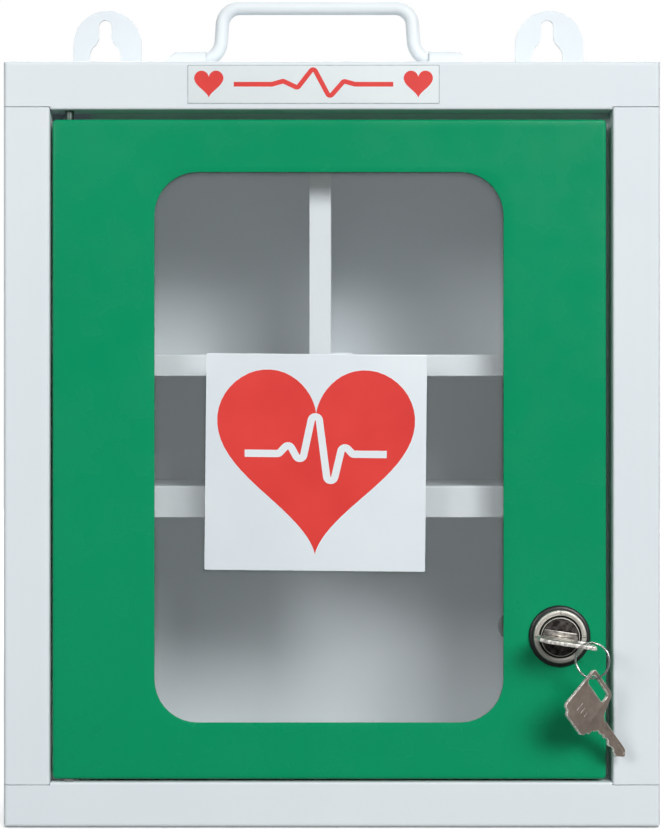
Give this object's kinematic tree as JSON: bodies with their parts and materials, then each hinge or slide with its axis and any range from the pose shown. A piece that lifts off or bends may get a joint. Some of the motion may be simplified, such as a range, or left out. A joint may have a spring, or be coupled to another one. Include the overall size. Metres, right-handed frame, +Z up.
{
  "type": "lockable medicine cabinet",
  "caption": "Sheet-steel first aid cabinet with a lockable windowed door, inner shelves, a folding carry handle and keyhole tabs for a wall.",
  "frame": {"origin": "centre of the base face, midway between the sides and between the front and the back", "axes": "+X to the right seen from the front, +Y from the front to the back, +Z up; the door faces -Y and hangs on the left"},
  "size_m": [0.305, 0.1408, 0.4027],
  "materials": {
    "white_paint": "semi-gloss powder coat",
    "green_paint": "semi-gloss powder coat",
    "clear_acrylic": "polished clear sheet",
    "printed_card": "printed card under clear film",
    "printed_label": "self-adhesive vinyl",
    "zinc_steel": "zinc plated",
    "nickel_flange": "satin nickel plated",
    "dark_plug": "cast face, darkened",
    "black_trim": "moulded black",
    "key_nickel": "nickel plated brass, handled",
    "ring_steel": "bright spring wire",
    "nylon": "natural nylon"
  },
  "bodies": {
    "cabinet": {"back_panel": "white_paint", "left_side_panel": "white_paint", "right_side_panel": "white_paint", "top_panel": "white_paint", "bottom_panel": "white_paint", "upper_shelf": "white_paint", "lower_shelf": "white_paint", "shelf_divider": "white_paint", "handle_bracket_left": "white_paint", "handle_bracket_right": "white_paint", "bracket_rivets": "white_paint", "header_label": "printed_label", "lower_hinge_washer": "nylon"},
    "door": {"door_panel": "green_paint", "window_pane": "clear_acrylic", "pane_clips": "zinc_steel", "emblem_card": "printed_card", "upper_hinge_pin": "zinc_steel", "lower_hinge_pin": "zinc_steel", "lock_trim_ring": "black_trim", "lock_body": "nickel_flange", "lock_washer": "zinc_steel", "lock_nut": "zinc_steel"},
    "plug": {"lock_plug": "dark_plug", "lock_cam": "zinc_steel", "cam_screw": "zinc_steel"},
    "key": {"key": "key_nickel"},
    "ring": {"key_ring": "ring_steel"},
    "spare": {"spare_key": "key_nickel"},
    "handle": {"carry_handle": "white_paint"}
  },
  "joints": [
    {"name": "door_hinge", "type": "hinge", "parent": "cabinet", "child": "door", "pos_m": [-0.12235, -0.052, 0.0225], "axis": [0, 0, -1], "range_deg": [0, 115]},
    {"name": "plug_turn", "type": "hinge", "parent": "door", "child": "plug", "pos_m": [0.10565, -0.057, 0.089], "axis": [0, 1, 0], "range_deg": [-8.5, 171.5]},
    {"name": "key_slide", "type": "slide", "parent": "plug", "child": "key", "axis": [0, -1, 0], "range_m": [0, 0.024]},
    {"name": "ring_swing", "type": "hinge", "parent": "key", "child": "ring", "pos_m": [0.11854, -0.0743, 0.08626], "axis": [0.4695, 0.8829, 0], "range_deg": [-8, 8]},
    {"name": "spare_swing", "type": "hinge", "parent": "ring", "child": "spare", "pos_m": [0.11854, -0.0743, 0.07186], "axis": [0.5446, -0.8387, 0], "range_deg": [-25, 8]},
    {"name": "handle_fold", "type": "hinge", "parent": "cabinet", "child": "handle", "pos_m": [-0.007, -0.017, 0.3632], "axis": [1, 0, 0], "range_deg": [-96, 96]}
  ]
}
